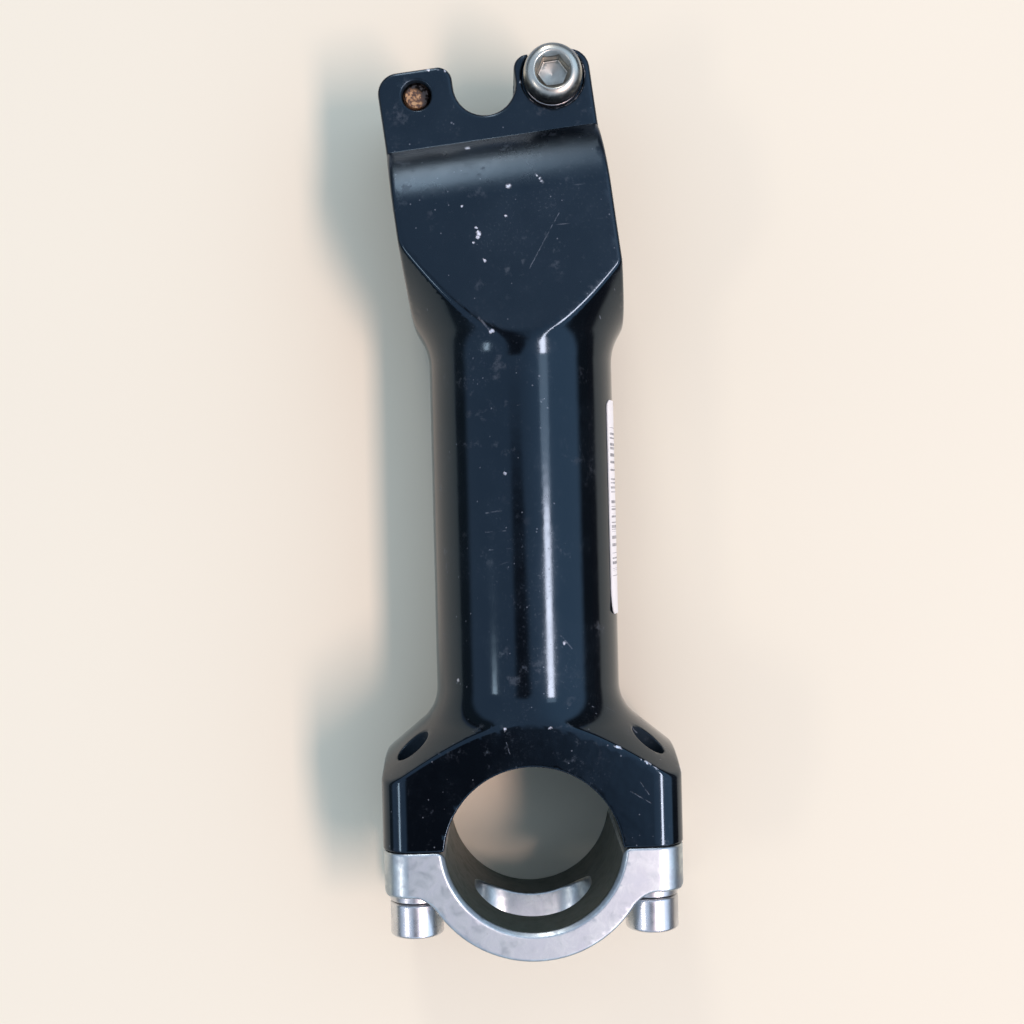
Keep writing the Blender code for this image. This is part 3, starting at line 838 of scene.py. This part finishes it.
def aluminium_material():
    """Worn bare aluminium, mottled and finely scratched, with the bore still black."""
    s = Shader("bare_aluminium")
    axis = (ORIGIN + np.array([FACEPLATE_BORE_X, 0, 0])) * MM
    flat = s.vector("SUBTRACT", s.coordinates, tuple(axis)).outputs[0]
    flat = s.vector("MULTIPLY", flat, (1, 1, 0)).outputs[0]
    spread = s.vector("LENGTH", flat).outputs["Value"]
    black = s.math("LESS_THAN", spread, (BAR_BORE / 2 + 0.04) * MM)

    blotch = s.noise(420.0, 5.0, 0.6, distortion=0.6)
    cloud = s.steps(s.noise(150.0, 3.0, 0.6), 0.42, 0.66)
    scratch = s.most(s.scratches(1.2, 700.0, 0.08, 0.3), s.scratches(-0.4, 600.0, 0.08, 0.2))
    pits = s.most(s.specks(900.0, 0.14, 0.10), s.specks(400.0, 0.08, 0.10))
    tone = s.mix(s.steps(blotch, 0.34, 0.66), (0.37, 0.415, 0.435), (0.54, 0.595, 0.595))
    tone = s.mix(s.times(cloud, 0.6), tone, (0.35, 0.385, 0.42))
    tone = s.mix(s.times(pits, 0.45), tone, (0.22, 0.23, 0.25))
    dark = s.mix(s.noise(300.0, 4.0), (0.016, 0.024, 0.018), (0.055, 0.072, 0.060))
    roughness = s.plus(s.steps(blotch, 0.3, 0.7, 0.46, 0.32), s.times(scratch, 0.15))
    relief = s.plus(blotch, s.times(scratch, -0.3))
    s.surface(
        Base_Color=s.mix(black, tone, dark),
        Roughness=s.most(roughness, s.times(black, 0.38)),
        Metallic=s.math("SUBTRACT", 1.0, black),
        Normal=s.bump(relief, 0.15, 0.0001),
    )
    return s.material


def steel_material(name, tone, smooth, rough, tip=None):
    """Plated steel with turning marks, painted shade in its socket and low on its head, and rust
    round a tip if it has one, darkened on one side as painted shade.
    """
    s = Shader(name)
    smudge = s.noise(260.0, 4.0, 0.6)
    inputs = {"Vector": s.coordinates, "Scale": (0.1, 1.0, 1.0)}
    marks = s.noise(2600.0, 2.0, 0.5, s.node("ShaderNodeMapping", inputs).outputs[0])
    colour = s.mix(s.steps(smudge, 0.35, 0.7), tone, tuple(0.78 * c for c in tone))
    roughness = s.plus(s.steps(smudge, 0.3, 0.7, smooth, rough), s.times(marks, 0.05))
    # Painted shade: the socket and the low side of the head are darkened, and made a little
    # rougher.
    grime_and_shade = s.times(s.attribute("grime_and_shade"), s.steps(s.noise(1200.0, 3.0), 0.25, 0.6, 0.7, 1.0))
    colour = s.mix(grime_and_shade, colour, (0.045, 0.05, 0.05))
    roughness = s.plus(roughness, s.times(grime_and_shade, 0.15))
    metallic = 1.0
    if tip is not None:
        patch = s.noise(1100.0, 4.0, 0.65)
        rust = s.steps(s.distance(tip), 3.6 * MM, 3.2 * MM)
        copper_and_shade = s.mix(s.steps(patch, 0.44, 0.6), (0.05, 0.022, 0.01), (0.62, 0.34, 0.17))
        # Painted shade: one side of the tip is painted near black, as if it stayed in the dark of
        # its hole.
        aside = s.distance(tip + Vector((0.7, -0.9, 0)) * MM)
        shade = s.steps(aside, 1.5 * MM, 2.5 * MM)
        copper_and_shade = s.mix(shade, copper_and_shade, (0.008, 0.006, 0.005))
        colour = s.mix(rust, colour, copper_and_shade)
        roughness = s.most(roughness, s.times(rust, s.steps(patch, 0.4, 0.6, 0.65, 0.35)))
        metallic = s.math("SUBTRACT", 1.0, s.times(rust, s.steps(patch, 0.55, 0.45)))
    bump = s.bump(marks, 0.04, 0.00005)
    s.surface(Base_Color=colour, Roughness=roughness, Metallic=metallic, Normal=bump)
    return s.material


def label_material():
    """White paper with plain grey bars of uneven width and a little dirt."""
    s = Shader("label_paper")
    x, _, z = s.split(s.coordinates)
    column = s.node("ShaderNodeCombineXYZ", {0: x}).outputs[0]
    bars = s.math("GREATER_THAN", s.noise(1500.0, 1.0, 0.5, column), 0.52)
    for value, origin, (low, high) in ((x, ORIGIN[0], BARS_X), (z, ORIGIN[2], BARS_Z)):
        bars = s.times(bars, s.math("GREATER_THAN", value, (origin + low) * MM))
        bars = s.times(bars, s.math("LESS_THAN", value, (origin + high) * MM))
    faded = s.times(bars, s.steps(s.noise(500.0, 3.0), 0.3, 0.6, 0.5, 0.9))
    dirt = s.steps(s.noise(180.0, 4.0, 0.6), 0.5, 0.75)
    paper = s.mix(s.times(dirt, 0.35), (0.80, 0.79, 0.76), (0.55, 0.53, 0.48))
    tone = s.mix(faded, paper, (0.16, 0.16, 0.17))
    s.surface(Base_Color=tone, Roughness=0.5, Normal=s.bump(s.noise(900.0, 3.0), 0.1, 0.00005))
    return s.material


def floor_material():
    """A pale board, plain to the camera. Its colour in reflections is a painted reflection: it dims
    to the rear and ends, dark, not far from the stem.
    """
    s = Shader("pale_floor")
    tone = s.mix(s.noise(6.0, 2.0), (0.61, 0.575, 0.455), (0.65, 0.615, 0.485))
    x, y, _ = s.split(s.coordinates)
    # Painted reflection: other rays see the board bluish and then dark towards the rear, and dark
    # past +Y.
    dark = (0.04, 0.04, 0.04)
    mirrored = s.mix(s.steps(x, -0.14, -0.09), (0.22, 0.28, 0.34), tone)
    mirrored = s.mix(s.steps(x, -0.30, -0.20), dark, mirrored)
    mirrored = s.mix(s.steps(y, 0.17, 0.11), dark, mirrored)
    tone = s.mix(s.camera_sees(), mirrored, tone)
    s.surface(Base_Color=tone, Roughness=0.7, Specular_IOR_Level=0.0)
    return s.material


# The pieces.


def body_attributes(mesh):
    """Where the body's paint is rubbed, where it is satin and where dirt has gathered."""
    x, y, z = mesh[0].T
    u, s = steerer_coordinates(x, y)
    at_clamp = x > FRONT_CONE[0]
    face_hole = face_bolt_distance(y, z) - THREAD_HOLE_RADIUS
    lug_hole = np.hypot(u + PINCH_BOLT_REACH, np.abs(s) - PINCH_BOLT_S) - THREAD_HOLE_RADIUS

    edge = np.clip(sharpness(body_field, mesh[0], mesh[1], 0.45) * 4.0, 0, 1)
    # The bar bore, the bolt holes and the split face keep the paint on their rims.
    edge *= np.clip(np.hypot(x - STEM_LENGTH, y) - BAR_BORE / 2 - 0.6, 0, 1)
    edge *= np.clip((SPLIT_X - 0.8 - x) * 2, 0, 1)
    edge *= np.where(at_clamp, np.clip(face_hole - 0.7, 0, 1), 1)
    # The underside and the bar clamp are rubbed most, and the steerer clamp least.
    edge *= np.interp(y, [-8, 8], [0.62, 1.0])
    edge *= np.where(x < -8, 0.75, 1)
    edge *= np.where(at_clamp, 1.5, 1)

    grime_and_shade = np.minimum(np.where(x > FRONT_CONE[0] - 8, face_hole, 9), lug_hole) < 0.12
    cone = np.abs(flare(np.hypot(y, z), REAR_CONE[0] - x, *REAR_CONE[1:])) < 0.35
    satin = np.clip((REAR_CONE[0] - x) * 2, 0, 1) * ~cone
    return [("edge", edge), ("satin", satin), ("grime_and_shade", grime_and_shade)]


def add_body():
    low, high = (-34, -28.5, -19.5), (115, 28.5, 19.5)
    mesh = skin(body_field, low, high, cell=1.05, turn=math.radians(12), shortest=0.18)
    attributes = body_attributes(mesh)
    show("stem_body_skin", mesh, paint_material(), "stem", "stem_body", attributes)


def add_faceplate():
    low, high = (112.5, -28, -19.5), (134.5, 28, 19.5)
    mesh = skin(faceplate_field, low, high, cell=0.7, turn=math.radians(9), shortest=0.12)
    metal = aluminium_material()
    show("faceplate_skin", mesh, metal, "faceplate", "faceplate")


def add_face_bolts(washer_metal):
    """The four faceplate bolts and their washers."""
    chrome = steel_material("bright_bolt", (0.66, 0.66, 0.67), 0.20, 0.32)
    bolt = bolt_mesh(FACE_BOLT_LENGTH, *FACE_HEAD)
    # Painted shade round the foot of each head and in its socket.
    grime_and_shade = bolt_painted_shade(bolt, FACE_HEAD[1], shaded_below=0.35, reach=9.0)
    washer = washer_mesh(FACE_HEAD[0], FACE_WASHER_THICKNESS)
    seat_x = FACEPLATE_SPLIT_X + EAR_THICKNESS + WASHER_CLEARANCE
    head_height = FACE_WASHER_THICKNESS + WASHER_CLEARANCE
    along_x = Matrix.Rotation(math.pi / 2, 4, "Y")
    corners = [(-1, 1), (1, 1), (1, -1), (-1, -1)]
    for number, (y_side, z_side) in enumerate(corners, 1):
        centre = (seat_x, y_side * FACE_BOLT_Y, z_side * FACE_BOLT_Z)
        seat = Matrix.Translation(centre) @ along_x @ Matrix.Rotation(number * 1.3, 4, "Z")
        lifted = seat @ Matrix.Translation((0, 0, head_height))
        name, node = f"faceplate_washer_skin_{number}", f"faceplate_washer_{number}"
        show(name, place(washer, seat), washer_metal, "faceplate", node)
        name, node = f"faceplate_bolt_skin_{number}", f"faceplate_bolt_{number}"
        show(name, place(bolt, lifted), chrome, f"face_bolt_{number}", node, grime_and_shade)


def add_pinch_bolts(washer_metal):
    """The two opposed pinch bolts and their washers. The right one's tip shows, rusty, in a lug."""
    low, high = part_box("steerer_bolt_right")
    tip = Vector(((low.x + high.x) / 2, (low.y + high.y) / 2, high.z))
    tone, smooth, rough = (0.50, 0.49, 0.43), 0.22, 0.34
    plated = steel_material("satin_bolt", tone, smooth, rough)
    rusty = steel_material("rusty_tip_bolt", tone, smooth, rough, tip)
    bolt = bolt_mesh(PINCH_BOLT_LENGTH, *PINCH_HEAD)
    # Painted shade on the side of each head towards +X and in its socket.
    grime_and_shade = bolt_painted_shade(bolt, PINCH_HEAD[1], shaded_below=4.1, reach=0.0)
    washer = washer_mesh(PINCH_HEAD[0], PINCH_WASHER_THICKNESS)
    head_height = PINCH_WASHER_THICKNESS + WASHER_CLEARANCE
    steerer_frame = Matrix.Rotation(STEERER_ANGLE, 4, "Z")
    for side_name, side, metal in (("left", 1, plated), ("right", -1, rusty)):
        centre = (-PINCH_BOLT_REACH, STACK_SHIFT + side * PINCH_BOLT_S, 0)
        turn = Matrix.Rotation(0 if side > 0 else math.pi, 4, "X")
        seat = steerer_frame @ Matrix.Translation(centre) @ turn
        seat = seat @ Matrix.Translation((0, 0, PINCH_SEAT + WASHER_CLEARANCE))
        lifted = seat @ Matrix.Translation((0, 0, head_height))
        name, node = f"steerer_washer_skin_{side_name}", f"steerer_washer_{side_name}"
        body = f"pinch_washer_{side_name}"
        show(name, place(washer, seat), washer_metal, body, node)
        name, node = f"steerer_bolt_skin_{side_name}", f"steerer_bolt_{side_name}"
        show(name, place(bolt, lifted), metal, f"pinch_bolt_{side_name}", node, grime_and_shade)


def add_floor(height, reach=3.0):
    data = bpy.data.meshes.new("floor")
    corners = [(-reach, -reach), (reach, -reach), (reach, reach), (-reach, reach)]
    data.from_pydata([(x, y, height) for x, y in corners], [], [(0, 1, 2, 3)])
    data.materials.append(floor_material())
    floor = bpy.data.objects.new("floor", data)
    bpy.context.scene.collection.objects.link(floor)


add_body()
add_faceplate()
washer_steel = steel_material("washer_steel", (0.60, 0.60, 0.61), 0.24, 0.36)
add_face_bolts(washer_steel)
add_pinch_bolts(washer_steel)
show("label_skin", label_mesh(), label_material(), "stem", "label")
add_floor(cad_low.z - 0.02 * MM)


# Lights.

# Strips overhead: name, lean towards +Y and slants of the two ends along X in degrees, then
# width in metres, radiance and colour.
OVERHEAD_STRIPS = (
    ("strip_right", 27, -0.5, 27, 0.21, 40.0, (1.0, 0.71, 0.65)),
    ("strip_right_dim", 27, -11, -0.5, 0.30, 2.6, (1.0, 0.92, 0.92)),
    ("strip_left", -42, 8, 21, 0.17, 12.0, (1.0, 0.88, 0.82)),
)
OVERHEAD_REACH = 1.6

# The strip behind the steerer clamp.
FAR_CENTRE = (-1.09, -0.16, 0.50)
FAR_ALONG = (0.42, 0, 0.91)
FAR_SIZE = (0.62, 0.14)
FAR_RADIANCE = 14.0
FAR_COLOUR = (1.0, 0.94, 0.92)


def strip_light(name, centre, along, size, radiance, colour):
    """A soft box facing the stem. Its long side lies along the second vector."""
    away = Vector(centre).normalized()
    side = Vector(along)
    side = (side - away * side.dot(away)).normalized()
    data = bpy.data.lights.new(name, "AREA")
    data.shape = "RECTANGLE"
    data.size, data.size_y = size
    data.energy = radiance * math.pi * size[0] * size[1]
    data.color = colour
    light = bpy.data.objects.new(name, data)
    bpy.context.scene.collection.objects.link(light)
    turn = Matrix((side, away.cross(side), away)).transposed()
    light.matrix_world = Matrix.Translation(centre) @ turn.to_4x4()


def overhead_strip(name, lean, start, end, width, radiance, colour):
    """One of the strips overhead, at the same reach from the stem as the others."""
    lean = math.radians(lean)
    low, high = (OVERHEAD_REACH * math.tan(math.radians(slant)) for slant in (start, end))
    height, aside = OVERHEAD_REACH * math.cos(lean), OVERHEAD_REACH * math.sin(lean)
    centre = ((low + high) / 2, aside, height)
    strip_light(name, centre, (1, 0, 0), (high - low, width), radiance, colour)


for strip in OVERHEAD_STRIPS:
    overhead_strip(*strip)
strip_light("strip_far", FAR_CENTRE, FAR_ALONG, FAR_SIZE, FAR_RADIANCE, FAR_COLOUR)


def add_world():
    """A pale room. Reflections see a ceiling, a dark band above the horizon and a dark patch."""
    world = bpy.data.worlds.new("studio")
    bpy.context.scene.world = world
    world.use_nodes = True
    w = Nodes(world.node_tree)
    x, y, z = w.split(w.node("ShaderNodeTexCoord").outputs["Generated"])
    ceiling = w.mix(w.steps(y, -0.1, 0.6), (0.60, 0.75, 1.0), (0.92, 1.22, 1.62))
    band = w.mix(w.steps(y, -0.5, 0.5), (0.10, 0.13, 0.15), (0.055, 0.065, 0.075))
    sky = w.mix(w.steps(z, 0.20, 0.36), band, ceiling)
    # The patch is whoever leans over the stem.
    steep_x = w.math("DIVIDE", x, z)
    steep_y = w.math("DIVIDE", y, z)
    slanted = w.math("SUBTRACT", steep_y, w.times(steep_x, 0.4))
    patch = w.times(w.steps(steep_x, -0.10, 0.02), w.steps(steep_x, 0.55, 0.40))
    patch = w.times(patch, w.steps(steep_y, -0.34, -0.22))
    patch = w.times(patch, w.steps(slanted, 0.05, -0.07))
    patch = w.times(patch, w.steps(z, 0.4, 0.6))
    sky = w.mix(patch, sky, (0.015, 0.02, 0.03))
    # The camera itself sees the room plain.
    background = w.tree.nodes["Background"]
    w.set(background.inputs[0], w.mix(w.camera_sees(), sky, (0.80, 0.77, 0.74)))
    background.inputs[1].default_value = 1.0


add_world()

# The camera: its place in the stem's frame in millimetres, and its tilts about X, Y and Z.
CAMERA_PLACE = (53.146, -4.393, 263.654)
CAMERA_TILT = (math.radians(-0.47), math.radians(0.165), math.radians(1.41))
CAMERA_LENS = 48.835
CAMERA_SENSOR = 36.0
CAMERA_NEAREST = 0.01


def add_camera():
    data = bpy.data.cameras.new("camera")
    data.lens = CAMERA_LENS
    data.sensor_width = CAMERA_SENSOR
    data.clip_start = CAMERA_NEAREST
    camera = bpy.data.objects.new("camera", data)
    bpy.context.scene.collection.objects.link(camera)
    tilt = Matrix.Identity(3)
    for angle, axis in zip(CAMERA_TILT, "XYZ"):
        tilt = tilt @ Matrix.Rotation(angle, 3, axis)
    # The top of the view is the steerer clamp's end.
    spin = Matrix.Rotation(math.pi / 2, 3, "Z")
    centre = Vector((np.array(CAMERA_PLACE) + ORIGIN) * MM)
    camera.matrix_world = Matrix.Translation(centre) @ (tilt.transposed() @ spin).to_4x4()
    bpy.context.scene.camera = camera


add_camera()
bpy.context.scene.view_settings.view_transform = "Standard"
